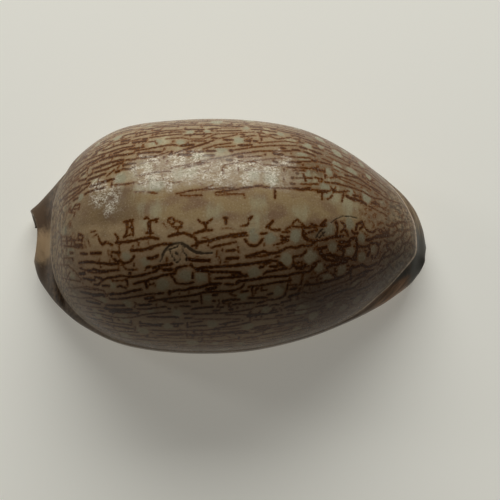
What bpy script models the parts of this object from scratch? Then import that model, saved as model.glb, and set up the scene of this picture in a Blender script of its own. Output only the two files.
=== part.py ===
"""A cowrie shell, grown as one piece: an egg-shaped dome over a flat base, which a toothed
slit opens from end to end. Its axis lies along X, with the narrow anterior end at +X. The
outer lip (labial side) is at -Y and the columellar side at +Y. It rests on z = 0."""

import math

import bmesh
import bpy
from mathutils import Vector

MM = 0.001

# Profiles of the shell, in mm: one value for each of 14 cross-sections, from the posterior
# end to the anterior one. The sections crowd at both ends, where the shell folds into its
# canals. They make a shell 65 mm long, 37 mm wide and 30 mm high.
DORSAL_X = (-31.3, -30.4, -29.3, -28.0, -24.6, -17.5, -8.5, 2.5, 12.0, 20.0, 25.8, 29.4, 31.0, 32.1)
DOME_HEIGHT = (6.2, 6.6, 7.6, 11.8, 20.6, 27.2, 30.3, 29.9, 26.4, 20.8, 15.2, 10.6, 7.0, 5.8)
LABIAL_X = (-32.1, -31.3, -29.9, -27.6, -23.5, -17.0, -8.0, 2.5, 11.8, 19.2, 24.8, 28.3, 30.0, 31.0)
LABIAL_Y = (-3.0, -5.3, -7.5, -10.3, -13.7, -16.8, -18.2, -18.0, -16.0, -13.1, -10.1, -7.6, -6.2, -5.0)
COLUMELLA_X = (-33.0, -31.7, -30.2, -27.9, -24.0, -17.3, -8.2, 2.5, 12.3, 20.8, 27.0, 30.3, 31.9, 32.6)
COLUMELLA_Y = (6.2, 7.0, 8.4, 10.5, 14.3, 17.9, 19.0, 19.1, 17.7, 13.9, 9.5, 6.2, 3.0, -0.2)
MARGIN_HEIGHT = (2.8, 3.2, 3.8, 5.0, 7.0, 8.4, 9.0, 9.0, 8.5, 7.4, 6.0, 4.6, 3.7, 3.0)
LABIAL_FLANGE = (1.0, 2.2, 2.6, 2.2, 1.2, 0.6, 0.4, 0.4, 0.5, 1.0, 1.8, 2.3, 2.3, 1.5)
COLUMELLA_FLANGE = (1.0, 1.9, 1.8, 1.1, 0.5, 0.4, 0.3, 0.3, 0.3, 0.5, 0.8, 1.2, 1.4, 1.0)
SLIT_Y = (1.4, 1.3, 1.0, 0.6, -0.2, -1.4, -2.3, -2.8, -3.1, -3.3, -3.3, -3.1, -2.9, -2.7)
SLIT_WIDTH = (3.6, 3.5, 3.4, 3.2, 3.0, 3.0, 3.0, 3.1, 3.2, 3.4, 3.4, 3.1, 2.6, 2.2)
CAVITY_HEIGHT = (4.9, 5.1, 5.6, 7.2, 13.6, 23.8, 27.9, 27.6, 23.9, 17.8, 11.8, 7.4, 5.3, 4.7)
CAVITY_FLOOR = (3.5, 3.7, 3.9, 4.3, 5.0, 5.3, 5.4, 5.4, 5.3, 5.0, 4.4, 3.7, 3.1, 2.7)
CAVITY_LABIAL = (3.1, 3.4, 4.2, 6.0, 9.2, 11.6, 12.6, 11.9, 9.8, 7.0, 4.6, 3.3, 2.3, 1.8)
CAVITY_COLUMELLA = (3.1, 3.4, 4.2, 6.2, 9.8, 14.8, 17.2, 17.8, 16.8, 13.2, 8.6, 5.2, 2.9, 1.8)
LAST = len(DORSAL_X) - 1

# Roundness of the dome, and how the margin turns under to the base
DOME_POWER = 2.15
MARGIN_POWER = 2.5
FLANGE_FADE = 2.3  # mm up the dome over which the flange dies away
BASE_SHARE = 0.55  # the flat base's outer edge, as a share of the way from lip to margin
FLAT_FROM, FLAT_TO = 3.0, 10.0  # the sections between which the base is flat
END_LIFT = 0.9  # mm that the base curves up by at each canal
NOTCH_SHARE = 0.45  # how far the slit's edges draw back from the tips into each canal

# The lips of the slit and their teeth, in mm
LIP_RADIUS = 1.2
LIP_RISE = 0.95
LIP_BAND = 4.6  # how far out over the base the lip rises and its teeth run
TOOTH_COUNT = 26
TOOTH_PITCH = 2.0
TOOTH_HEIGHT = 0.5
FIRST_TOOTH_X = -25.2
SHORT_TEETH = 3  # teeth that shrink towards each end

# Mesh columns down one half of the section, and mesh rows along the shell
DOME_STEPS = 10
MARGIN_STEPS = 4
BASE_STEPS = 1
LIP_STEPS = 3
NOSE_STEPS = 2
HALF = DOME_STEPS + MARGIN_STEPS + BASE_STEPS + LIP_STEPS + NOSE_STEPS
LIP_TOP_STEPS = MARGIN_STEPS + BASE_STEPS + LIP_STEPS
ROWS_PER_TOOTH = 4
TEETH_PER_WHOLE_ROW = 2  # between these teeth, rows away from the lips aren't needed
MIDDLE_TEETH = range(8, 20)
RIM_LENGTH = 1.1  # mm over which the wall rounds off at each end
RIM_ROWS = (0.0, 0.15, 0.45, 1.0)
RIM_LEAN = 0.2  # how far in from the outside the end's rim lies, as a share of the wall
END_ROW_STEP = 0.7


def along(profile, s):
    """The profile's value at section s, on a smooth curve through its values."""
    i = min(int(s), LAST - 1)
    t = s - i
    start, end = profile[i], profile[i + 1]
    before = profile[i - 1] if i > 0 else 2 * start - end
    after = profile[i + 2] if i < LAST - 1 else 2 * end - start
    leave, arrive = (end - before) / 2, (after - start) / 2
    bend = 3 * (end - start) - 2 * leave - arrive
    twist = leave + arrive - 2 * (end - start)
    return start + leave * t + bend * t**2 + twist * t**3


def section_at(x):
    """The section whose dorsal line is at this x."""
    low, high = 0.0, float(LAST)
    for _ in range(40):
        middle = (low + high) / 2
        if along(DORSAL_X, middle) < x:
            low = middle
        else:
            high = middle
    return (low + high) / 2


def smooth(t):
    t = min(max(t, 0.0), 1.0)
    return t * t * (3 - 2 * t)


def base_height(s):
    behind = max(0.0, 1 - s / FLAT_FROM)
    ahead = max(0.0, (s - FLAT_TO) / (LAST - FLAT_TO))
    return END_LIFT * (behind**2 + ahead**2)


def tooth_height(s):
    """0 between two teeth and full on a tooth's crest."""
    place = (along(DORSAL_X, s) - FIRST_TOOTH_X) / TOOTH_PITCH
    to_end = min(place, TOOTH_COUNT - 1 - place) + 0.5
    wave = 0.5 + 0.5 * math.cos(2 * math.pi * place)
    return TOOTH_HEIGHT * wave * smooth(to_end / SHORT_TEETH)


class Half:
    """One side of a cross-section: side is -1 for the outer lip and 1 for the columella.
    Points are (x, y, z), and q is the distance out from the middle of the slit."""

    def __init__(self, s, side):
        labial = side < 0
        self.side = side
        self.slit_y = along(SLIT_Y, s)
        self.dome_y = (along(LABIAL_Y, s) + along(COLUMELLA_Y, s)) / 2
        self.dorsal_x = along(DORSAL_X, s)
        self.margin_x = along(LABIAL_X if labial else COLUMELLA_X, s)
        margin_y = along(LABIAL_Y if labial else COLUMELLA_Y, s)
        self.widest = side * (margin_y - self.slit_y)
        self.margin_z = along(MARGIN_HEIGHT, s)
        self.flange = along(LABIAL_FLANGE if labial else COLUMELLA_FLANGE, s)
        self.dome_half = side * (margin_y - self.dome_y) - self.flange
        self.top_z = along(DOME_HEIGHT, s)
        self.base_z = base_height(s)
        self.tooth = tooth_height(s)
        self.slit = along(SLIT_WIDTH, s) / 2
        self.radius = min(LIP_RADIUS, 0.28 * self.widest)
        self.lip_start = self.slit + self.radius
        self.base_end = self.lip_start + BASE_SHARE * (self.widest - self.lip_start)
        self.lip_end = self.lip_start + min(LIP_BAND, 0.8 * (self.base_end - self.lip_start))
        self.lip_z = self.base_z + LIP_RISE * smooth((self.widest - self.lip_start) / 6)
        self.cavity_half = along(CAVITY_LABIAL if labial else CAVITY_COLUMELLA, s)
        self.cavity_top = along(CAVITY_HEIGHT, s)
        self.cavity_floor = along(CAVITY_FLOOR, s)

    def at(self, q, z):
        """A point of the base; towards the margin it follows the margin's own x."""
        back = NOTCH_SHARE * (1 - smooth((q - self.slit) / (self.widest - self.slit)))
        x = self.margin_x + (self.dorsal_x - self.margin_x) * back
        return x, self.slit_y + self.side * q, z

    def dome(self, t):
        """From the top of the dome, t = 0, down to the margin, t = 1, with its flange."""
        rise, reach = math.cos(math.pi / 2 * t), math.sin(math.pi / 2 * t)
        up = (self.top_z - self.margin_z) * rise ** (2 / DOME_POWER)
        out = self.dome_half * reach ** (2 / DOME_POWER)
        out += self.flange * math.exp(-((up / FLANGE_FADE) ** 2)) * reach
        share = rise**1.6
        x = self.dorsal_x * share + self.margin_x * (1 - share)
        return x, self.dome_y + self.side * out, self.margin_z + up

    def under_margin(self, t):
        """From the margin, t = 0, round to the edge of the flat base, t = 1."""
        reach, fall = math.cos(math.pi / 2 * t), math.sin(math.pi / 2 * t)
        q = self.base_end + (self.widest - self.base_end) * reach ** (2 / MARGIN_POWER)
        down = (self.margin_z - self.base_z) * fall ** (2 / MARGIN_POWER)
        return self.at(q, self.margin_z - down)

    def base(self, t):
        return self.at(self.base_end + (self.lip_end - self.base_end) * t, self.base_z)

    def lip(self, t):
        """The lip's underside, which rises towards the slit and carries the teeth."""
        q = self.lip_end + (self.lip_start - self.lip_end) * t
        rise = (self.lip_z - self.base_z) * smooth(t)
        return self.at(q, self.base_z + rise - self.tooth * smooth(1.3 * t - 0.3))

    def nose(self, t):
        """Round the lip's edge: t = 0 underneath, 0.5 at the slit, 1 inside the cavity."""
        radius = self.radius + self.tooth * (1 - smooth(2 * t - 1))
        q = self.lip_start - radius * math.sin(math.pi * t)
        return self.at(q, self.lip_z + self.radius - radius * math.cos(math.pi * t))

    def lip_top(self, t):
        """The cavity's floor, from the lip's edge, t = 0, out to the vault, t = 1."""
        low = self.lip_z + 2 * self.radius
        q = self.lip_start + (self.cavity_half - self.lip_start) * t
        return self.at(q, low + (self.cavity_floor - low) * smooth(t))

    def vault(self, t):
        """The cavity's ceiling, from its side, t = 0, up to its top, t = 1."""
        rise, reach = math.sin(math.pi / 2 * t), math.cos(math.pi / 2 * t)
        up = (self.cavity_top - self.cavity_floor) * rise ** (2 / DOME_POWER)
        out = self.cavity_half * reach ** (2 / DOME_POWER)
        side_x = self.at(self.cavity_half, 0)[0]
        x = side_x + (self.dorsal_x - side_x) * smooth(t)
        y = self.slit_y + self.side * out + (self.dome_y - self.slit_y) * smooth(t)
        return x, y, self.cavity_floor + up

    def outer(self, k):
        """Point k of the outside, from the top of the dome, 0, to the slit, HALF."""
        for steps, piece in (
            (DOME_STEPS, self.dome),
            (MARGIN_STEPS, self.under_margin),
            (BASE_STEPS, self.base),
            (LIP_STEPS, self.lip),
        ):
            if k <= steps:
                return piece(k / steps)
            k -= steps
        return self.nose(0.5 * k / NOSE_STEPS)

    def inner(self, k):
        """Point k of the inside, from the top of the cavity, 0, to the slit, HALF."""
        if k <= DOME_STEPS:
            return self.vault(1 - k / DOME_STEPS)
        k -= DOME_STEPS
        if k <= LIP_TOP_STEPS:
            return self.lip_top(1 - k / LIP_TOP_STEPS)
        return self.nose(1 - 0.5 * (k - LIP_TOP_STEPS) / NOSE_STEPS)

    def wall(self, k, thickness):
        """Points k of the outside and the inside, drawn together to a share of the wall."""
        outside, inside = Vector(self.outer(k)), Vector(self.inner(k))
        lost = (1 - thickness) * (inside - outside)
        return outside + RIM_LEAN * lost, inside - (1 - RIM_LEAN) * lost


def section(s, thickness):
    """The closed outline of the wall at section s: from the outer lip's edge over the dome
    to the columellar lip's edge, then back inside the cavity."""
    labial = [Half(s, -1).wall(k, thickness) for k in range(HALF + 1)]
    columellar = [Half(s, 1).wall(k, thickness) for k in range(HALF + 1)]
    outside = [pair[0] for pair in reversed(labial)] + [pair[0] for pair in columellar[1:]]
    inside = [pair[1] for pair in reversed(columellar[:-1])] + [pair[1] for pair in labial[1:]]
    return outside + inside


def rows():
    """(section, wall's share, whether the row runs all round) for each mesh row."""
    first, last = DORSAL_X[0], DORSAL_X[-1]
    teeth_from = FIRST_TOOTH_X - TOOTH_PITCH / 2
    teeth_to = teeth_from + TOOTH_COUNT * TOOTH_PITCH
    found = [(first + RIM_LENGTH * d, d, True) for d in RIM_ROWS]
    gap = teeth_from - found[-1][0]
    steps = round(gap / END_ROW_STEP)
    found += [(found[-1][0] + gap * i / steps, 1.0, True) for i in range(1, steps)]
    for i in range(TOOTH_COUNT * ROWS_PER_TOOTH + 1):
        tooth, between = divmod(i, ROWS_PER_TOOTH)
        whole = between == 0 and (tooth not in MIDDLE_TEETH or tooth % TEETH_PER_WHOLE_ROW == 0)
        found.append((teeth_from + i * TOOTH_PITCH / ROWS_PER_TOOTH, 1.0, whole))
    gap = last - RIM_LENGTH - teeth_to
    steps = round(gap / END_ROW_STEP)
    found += [(teeth_to + gap * i / steps, 1.0, True) for i in range(1, steps)]
    found += [(last - RIM_LENGTH * d, d, True) for d in reversed(RIM_ROWS)]
    return [(section_at(x), math.sqrt(1 - (1 - d) ** 2), whole) for x, d, whole in found]


def is_fine(column):
    """Whether the strip from this column to the next is on a toothed lip."""
    lip_from = DOME_STEPS + MARGIN_STEPS + BASE_STEPS
    outside = column < HALF - lip_from or HALF + lip_from <= column < 2 * HALF
    inside = column < 2 * HALF + NOSE_STEPS or column >= 4 * HALF - NOSE_STEPS
    return outside or (column >= 2 * HALF and inside)


def shell_mesh():
    """A flat grid, thinned where the shell is smooth, then rolled into the closed wall."""
    lines = rows()
    columns = 4 * HALF
    mesh = bmesh.new()
    bmesh.ops.create_grid(mesh, x_segments=columns, y_segments=len(lines) - 1, size=0.5)

    def place(vert):
        return round((vert.co.x + 0.5) * columns), round((vert.co.y + 0.5) * (len(lines) - 1))

    spare = []
    for edge in mesh.edges:
        (column, row), (other_column, other_row) = sorted(place(v) for v in edge.verts)
        if row == other_row and not lines[row][2] and not is_fine(column):
            spare.append(edge)
    bmesh.ops.dissolve_edges(mesh, edges=spare, use_verts=True)

    outlines = [section(s, thickness) for s, thickness, _ in lines]
    for vert in mesh.verts:
        column, row = place(vert)
        vert.co = outlines[row][column % columns] * MM
    bmesh.ops.remove_doubles(mesh, verts=mesh.verts, dist=0.001 * MM)
    bmesh.ops.recalc_face_normals(mesh, faces=mesh.faces)
    bmesh.ops.translate(mesh, verts=mesh.verts, vec=-foot_of(mesh))
    return mesh


def foot_of(mesh):
    """The middle of the shell's footprint, level with the base."""
    low = Vector(min(vert.co[axis] for vert in mesh.verts) for axis in range(3))
    high = Vector(max(vert.co[axis] for vert in mesh.verts) for axis in range(3))
    return Vector(((low.x + high.x) / 2, (low.y + high.y) / 2, low.z))


def enamel():
    """The polished enamel of the dome: warm brown lines on a greyish cream ground."""
    material = bpy.data.materials.new("enamel")
    material.use_nodes = True
    surface = material.node_tree.nodes["Principled BSDF"]
    surface.inputs["Base Color"].default_value = (0.36, 0.26, 0.17, 1)
    surface.inputs["Roughness"].default_value = 0.25
    surface.inputs["Metallic"].default_value = 0.0
    return material


def make_shell():
    mesh = bpy.data.meshes.new("shell")
    modelled = shell_mesh()
    modelled.to_mesh(mesh)
    modelled.free()
    mesh.materials.append(enamel())
    mesh.shade_smooth()
    mesh.set_sharp_from_angle(angle=math.radians(50))
    shell = bpy.data.objects.new("shell", mesh)
    bpy.context.scene.collection.objects.link(shell)
    return shell


for old in list(bpy.data.objects):
    bpy.data.objects.remove(old)
make_shell()
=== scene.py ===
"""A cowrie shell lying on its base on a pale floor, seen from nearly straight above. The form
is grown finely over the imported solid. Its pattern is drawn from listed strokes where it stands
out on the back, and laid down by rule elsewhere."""

import math
import random

import bmesh
import bpy
import numpy
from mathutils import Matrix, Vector, kdtree, noise
from mathutils.bvhtree import BVHTree


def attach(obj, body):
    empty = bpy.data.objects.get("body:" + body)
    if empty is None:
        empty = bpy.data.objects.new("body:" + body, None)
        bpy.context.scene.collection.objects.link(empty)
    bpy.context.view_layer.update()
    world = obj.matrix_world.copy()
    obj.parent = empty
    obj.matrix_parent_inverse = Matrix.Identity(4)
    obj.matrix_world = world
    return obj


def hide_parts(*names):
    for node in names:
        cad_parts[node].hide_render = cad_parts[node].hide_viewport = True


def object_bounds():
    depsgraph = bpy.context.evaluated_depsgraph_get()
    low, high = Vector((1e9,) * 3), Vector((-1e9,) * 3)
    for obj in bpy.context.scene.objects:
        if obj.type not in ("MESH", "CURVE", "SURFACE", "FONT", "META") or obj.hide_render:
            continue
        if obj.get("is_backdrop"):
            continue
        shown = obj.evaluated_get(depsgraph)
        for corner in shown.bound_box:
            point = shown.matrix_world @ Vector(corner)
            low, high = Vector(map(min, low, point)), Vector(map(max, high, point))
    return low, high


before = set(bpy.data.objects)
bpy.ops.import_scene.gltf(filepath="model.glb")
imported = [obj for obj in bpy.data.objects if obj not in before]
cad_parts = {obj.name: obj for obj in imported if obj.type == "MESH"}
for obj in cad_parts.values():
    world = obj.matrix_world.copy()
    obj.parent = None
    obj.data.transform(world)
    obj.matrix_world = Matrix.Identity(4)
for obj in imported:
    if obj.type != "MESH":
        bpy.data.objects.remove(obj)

cad_low, cad_high = (Vector(corner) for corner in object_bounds())

# The shell. A cowrie's shell grows as one piece, of aragonite that the animal's mantle lays
# down and polishes. It is hollow, open below along a toothed slit from end to end. Lengths
# are in mm; +X is the narrow front end, -Y the outer lip, and the profiles run front-wards.

MM = 0.001

DORSAL_X = (-31.3, -30.4, -29.3, -28.0, -24.6, -17.5, -8.5, 2.5, 12.0, 20.0, 25.8, 29.4, 31.0, 32.1)
DOME_HEIGHT = (6.2, 6.6, 7.6, 11.8, 20.6, 27.2, 30.3, 29.9, 26.4, 20.8, 15.2, 10.6, 7.0, 5.8)
LABIAL_X = (-32.1, -31.3, -29.9, -27.6, -23.5, -17.0, -8.0, 2.5, 11.8, 19.2, 24.8, 28.3, 30.0, 31.0)
LABIAL_Y = (-3.0, -5.3, -7.5, -10.3, -13.7, -16.8, -18.2, -18.0, -16.0, -13.1, -10.1, -7.6, -6.2, -5.0)
COLUMELLA_X = (-33.0, -31.7, -30.2, -27.9, -24.0, -17.3, -8.2, 2.5, 12.3, 20.8, 27.0, 30.3, 31.9, 32.6)
COLUMELLA_Y = (6.2, 7.0, 8.4, 10.5, 14.3, 17.9, 19.0, 19.1, 17.7, 13.9, 9.5, 6.2, 3.0, -0.2)
MARGIN_HEIGHT = (2.8, 3.2, 3.8, 5.0, 7.0, 8.4, 9.0, 9.0, 8.5, 7.4, 6.0, 4.6, 3.7, 3.0)
LABIAL_FLANGE = (1.0, 2.2, 2.6, 2.2, 1.0, 0.3, 0.15, 0.15, 0.15, 0.35, 1.4, 2.6, 2.9, 2.0)
COLUMELLA_FLANGE = (1.0, 1.9, 1.8, 1.1, 0.4, 0.2, 0.15, 0.15, 0.15, 0.3, 0.8, 1.6, 1.9, 1.4)
SLIT_Y = (1.4, 1.3, 1.0, 0.6, -0.2, -1.4, -2.3, -2.8, -3.1, -3.3, -3.3, -3.1, -2.9, -2.7)
SLIT_WIDTH = (3.6, 3.5, 3.4, 3.2, 3.0, 3.0, 3.0, 3.1, 3.2, 3.4, 3.4, 3.1, 2.6, 2.2)
CAVITY_HEIGHT = (4.9, 5.1, 5.6, 7.2, 13.6, 23.8, 27.9, 27.6, 23.9, 17.8, 11.8, 7.4, 5.3, 4.7)
CAVITY_FLOOR = (3.5, 3.7, 3.9, 4.3, 5.0, 5.3, 5.4, 5.4, 5.3, 5.0, 4.4, 3.7, 3.1, 2.7)
CAVITY_LABIAL = (3.1, 3.4, 4.2, 6.0, 9.2, 11.6, 12.6, 11.9, 9.8, 7.0, 4.6, 3.3, 2.3, 1.8)
CAVITY_COLUMELLA = (3.1, 3.4, 4.2, 6.2, 9.8, 14.8, 17.2, 17.8, 16.8, 13.2, 8.6, 5.2, 2.9, 1.8)
LAST = len(DORSAL_X) - 1

DOME_POWER = 2.15
MARGIN_POWER = 2.5
FLANGE_FADE = 0.84  # how far up to the crease the flange reaches
FLANGE_EDGE = 3.2  # how sharp the crease is where the dome meets the flange
CREASE_UP = 2.5  # mm over the margin at which the dome meets the flange
GROOVE_DEPTH, GROOVE_WIDTH = 0.3, 0.5  # the crease's own groove
HIND_DOME, FRONT_DOME = 5.4, 4.1  # mm: an end's dome that rises less than this is all flange
FULL_DOME = 9.5  # mm of rise by which the crease has come down to its usual height
BASE_SHARE = 0.55
FLAT_FROM, FLAT_TO = 3.0, 10.0
END_LIFT = 0.9
NOTCH_SHARE = 0.45

LIP_RADIUS = 1.2
LIP_RISE = 0.95
LIP_BAND = 4.6
TOOTH_COUNT = 26
TOOTH_PITCH = 2.0
TOOTH_HEIGHT = 0.5
FIRST_TOOTH_X = -25.2
SHORT_TEETH = 3

DOME_STEPS, MARGIN_STEPS, BASE_STEPS, LIP_STEPS, NOSE_STEPS = 130, 8, 3, 8, 4
HALF = DOME_STEPS + MARGIN_STEPS + BASE_STEPS + LIP_STEPS + NOSE_STEPS
LIP_TOP_STEPS = MARGIN_STEPS + BASE_STEPS + LIP_STEPS
ROW_COUNT = 292
RIM_LENGTH = 1.1
RIM_ROWS = (0.0, 0.05, 0.15, 0.3, 0.5, 0.75, 1.0)
RIM_LEAN = 0.2
COARSE_COLUMNS, COARSE_ROWS = 9, 4  # the cavity's grid, as a count of the outside's cells


def along(profile, s):
    """The profile's value at section s, on a smooth curve through its values."""
    i = min(int(s), LAST - 1)
    t = s - i
    start, end = profile[i], profile[i + 1]
    before = profile[i - 1] if i > 0 else 2 * start - end
    after = profile[i + 2] if i < LAST - 1 else 2 * end - start
    leave, arrive = (end - before) / 2, (after - start) / 2
    bend = 3 * (end - start) - 2 * leave - arrive
    twist = leave + arrive - 2 * (end - start)
    return start + leave * t + bend * t**2 + twist * t**3


def smooth(t):
    t = min(max(t, 0.0), 1.0)
    return t * t * (3 - 2 * t)


def base_height(s):
    behind = max(0.0, 1 - s / FLAT_FROM)
    ahead = max(0.0, (s - FLAT_TO) / (LAST - FLAT_TO))
    return END_LIFT * (behind**2 + ahead**2)


def tooth_crest(s):
    """0 between two teeth and 1 on a tooth's crest."""
    place = (along(DORSAL_X, s) - FIRST_TOOTH_X) / TOOTH_PITCH
    to_end = min(place, TOOTH_COUNT - 1 - place) + 0.5
    wave = 0.5 + 0.5 * math.cos(2 * math.pi * place)
    return wave * smooth(to_end / SHORT_TEETH)


class Half:
    """One side of a cross-section: side is -1 for the outer lip and 1 for the columella.
    Points are (x, y, z), and q is the distance out from the middle of the slit."""

    def __init__(self, s, side):
        labial = side < 0
        self.side = side
        self.slit_y = along(SLIT_Y, s)
        self.dome_y = (along(LABIAL_Y, s) + along(COLUMELLA_Y, s)) / 2
        self.dorsal_x = along(DORSAL_X, s)
        self.margin_x = along(LABIAL_X if labial else COLUMELLA_X, s)
        margin_y = along(LABIAL_Y if labial else COLUMELLA_Y, s)
        self.widest = side * (margin_y - self.slit_y)
        self.margin_z = along(MARGIN_HEIGHT, s)
        self.flange = along(LABIAL_FLANGE if labial else COLUMELLA_FLANGE, s)
        self.dome_half = side * (margin_y - self.dome_y) - self.flange
        self.top_z = along(DOME_HEIGHT, s)
        self.base_z = base_height(s)
        rise = self.top_z - self.margin_z
        narrow = smooth((self.flange - 0.1) / 1.1)
        end_dome = HIND_DOME if s < LAST / 2 else FRONT_DOME
        near_end = smooth((FULL_DOME - rise) / (FULL_DOME - end_dome))
        self.crease = CREASE_UP * (0.25 + 0.75 * narrow) + (end_dome - CREASE_UP) * near_end
        self.tooth = TOOTH_HEIGHT * tooth_crest(s)
        self.slit = along(SLIT_WIDTH, s) / 2
        self.radius = min(LIP_RADIUS, 0.28 * self.widest)
        self.lip_start = self.slit + self.radius
        self.base_end = self.lip_start + BASE_SHARE * (self.widest - self.lip_start)
        self.lip_end = self.lip_start + min(LIP_BAND, 0.8 * (self.base_end - self.lip_start))
        self.lip_z = self.base_z + LIP_RISE * smooth((self.widest - self.lip_start) / 6)
        self.cavity_half = along(CAVITY_LABIAL if labial else CAVITY_COLUMELLA, s)
        self.cavity_top = along(CAVITY_HEIGHT, s)
        self.cavity_floor = along(CAVITY_FLOOR, s)

    def at(self, q, z):
        """A point of the base; towards the margin it follows the margin's own x."""
        back = NOTCH_SHARE * (1 - smooth((q - self.slit) / (self.widest - self.slit)))
        x = self.margin_x + (self.dorsal_x - self.margin_x) * back
        return x, self.slit_y + self.side * q, z

    def dome(self, t):
        """From the top of the dome, t = 0, down to the margin, t = 1, with its flange."""
        rise, reach = math.cos(math.pi / 2 * t), math.sin(math.pi / 2 * t)
        up = (self.top_z - self.margin_z) * max(rise, 0.0) ** (2 / DOME_POWER)
        out = self.dome_half * reach ** (2 / DOME_POWER)
        out += self.flange * math.exp(-((up / (FLANGE_FADE * self.crease)) ** FLANGE_EDGE)) * reach
        groove = math.exp(-(((up - self.crease) / GROOVE_WIDTH) ** 2))
        out -= GROOVE_DEPTH * smooth((self.flange - 0.7) / 0.8) * groove * reach
        share = max(rise, 0.0) ** 1.6
        x = self.dorsal_x * share + self.margin_x * (1 - share)
        return x, self.dome_y + self.side * out, self.margin_z + up

    def under_margin(self, t):
        """From the margin, t = 0, round to the edge of the flat base, t = 1."""
        reach, fall = max(math.cos(math.pi / 2 * t), 0.0), math.sin(math.pi / 2 * t)
        q = self.base_end + (self.widest - self.base_end) * reach ** (2 / MARGIN_POWER)
        down = (self.margin_z - self.base_z) * fall ** (2 / MARGIN_POWER)
        return self.at(q, self.margin_z - down)

    def base(self, t):
        return self.at(self.base_end + (self.lip_end - self.base_end) * t, self.base_z)

    def lip(self, t):
        """The lip's underside, which rises towards the slit and carries the teeth."""
        q = self.lip_end + (self.lip_start - self.lip_end) * t
        rise = (self.lip_z - self.base_z) * smooth(t)
        return self.at(q, self.base_z + rise - self.tooth * smooth(1.3 * t - 0.3))

    def nose(self, t):
        """Round the lip's edge: t = 0 underneath, 0.5 at the slit, 1 inside the cavity."""
        radius = self.radius + self.tooth * (1 - smooth(2 * t - 1))
        q = self.lip_start - radius * math.sin(math.pi * t)
        return self.at(q, self.lip_z + self.radius - radius * math.cos(math.pi * t))

    def lip_top(self, t):
        """The cavity's floor, from the lip's edge, t = 0, out to the vault, t = 1."""
        low = self.lip_z + 2 * self.radius
        q = self.lip_start + (self.cavity_half - self.lip_start) * t
        return self.at(q, low + (self.cavity_floor - low) * smooth(t))

    def vault(self, t):
        """The cavity's ceiling, from its side, t = 0, up to its top, t = 1."""
        rise, reach = math.sin(math.pi / 2 * t), max(math.cos(math.pi / 2 * t), 0.0)
        up = (self.cavity_top - self.cavity_floor) * rise ** (2 / DOME_POWER)
        out = self.cavity_half * reach ** (2 / DOME_POWER)
        side_x = self.at(self.cavity_half, 0)[0]
        x = side_x + (self.dorsal_x - side_x) * smooth(t)
        y = self.slit_y + self.side * out + (self.dome_y - self.slit_y) * smooth(t)
        return x, y, self.cavity_floor + up

    def outer(self, k):
        """Point k of the outside, from the top of the dome, 0, to the slit, HALF."""
        for steps, piece in (
            (DOME_STEPS, self.dome),
            (MARGIN_STEPS, self.under_margin),
            (BASE_STEPS, self.base),
            (LIP_STEPS, self.lip),
        ):
            if k <= steps:
                return piece(k / steps)
            k -= steps
        return self.nose(0.5 * k / NOSE_STEPS)

    def inner(self, k):
        """Point k of the inside, from the top of the cavity, 0, to the slit, HALF."""
        if k <= DOME_STEPS:
            return self.vault(1 - k / DOME_STEPS)
        k -= DOME_STEPS
        if k <= LIP_TOP_STEPS:
            return self.lip_top(1 - k / LIP_TOP_STEPS)
        return self.nose(1 - 0.5 * (k - LIP_TOP_STEPS) / NOSE_STEPS)


# The mesh rows are evenly spaced along the back of the dome, and close up at each rim.
fine_s = numpy.linspace(0, LAST, 2000)
fine_x = numpy.array([along(DORSAL_X, s) for s in fine_s])
fine_z = numpy.array([along(DOME_HEIGHT, s) for s in fine_s])
fine_steps = numpy.hypot(numpy.diff(fine_x), numpy.diff(fine_z))
fine_arc = numpy.concatenate([[0], numpy.cumsum(fine_steps)])


def s_of_x(x):
    return float(numpy.interp(x, fine_x, fine_s))


def arc_of_s(s):
    return float(numpy.interp(s, fine_s, fine_arc))


hind_x = [DORSAL_X[0] + RIM_LENGTH * d for d in RIM_ROWS]
front_x = [DORSAL_X[-1] - RIM_LENGTH * d for d in reversed(RIM_ROWS)]
first_arc, last_arc = arc_of_s(s_of_x(hind_x[-1])), arc_of_s(s_of_x(front_x[0]))
even_arcs = numpy.linspace(first_arc, last_arc, ROW_COUNT - 2 * len(RIM_ROWS) + 2)
row_s = [s_of_x(x) for x in hind_x[:-1]]
row_s += [float(numpy.interp(arc, fine_arc, fine_s)) for arc in even_arcs]
row_s += [s_of_x(x) for x in front_x[1:]]
wall_share = [1.0] * ROW_COUNT
for i, d in enumerate(RIM_ROWS):
    wall_share[i] = wall_share[ROW_COUNT - 1 - i] = math.sqrt(1 - (1 - d) ** 2)

# The outside as a net of points, from the outer lip's edge over the dome to the other lip.
halves = [(Half(s, -1), Half(s, 1)) for s in row_s]
net = numpy.array([
    [labial.outer(k) for k in range(HALF, 0, -1)] + [columellar.outer(k) for k in range(HALF + 1)]
    for labial, columellar in halves
])
girth = numpy.linalg.norm(numpy.diff(net, axis=1), axis=2)
girth = numpy.concatenate([numpy.zeros((ROW_COUNT, 1)), numpy.cumsum(girth, axis=1)], axis=1)
girth -= girth[:, HALF : HALF + 1]
u_of_row = numpy.array([arc_of_s(s) for s in row_s]) - arc_of_s(s_of_x(0.0))
half_girth = (girth[:, HALF + DOME_STEPS] - girth[:, HALF - DOME_STEPS]) / 2


def wall_point(column, row):
    """Where a point of the flat grid comes to lie once it is rolled into the shell's wall."""
    column %= 4 * HALF
    inside = column > 2 * HALF
    k = abs(column - 3 * HALF) if inside else abs(column - HALF)
    labial = column > 3 * HALF or column < HALF
    half = halves[row][0 if labial else 1]
    outer, inner = Vector(half.outer(k)), Vector(half.inner(k))
    lost = (1 - wall_share[row]) * (inner - outer)
    return inner - (1 - RIM_LEAN) * lost if inside else outer + RIM_LEAN * lost


def grid_place(vert):
    return round((vert.co.x + 0.5) * 4 * HALF), round((vert.co.y + 0.5) * (ROW_COUNT - 1))


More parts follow.
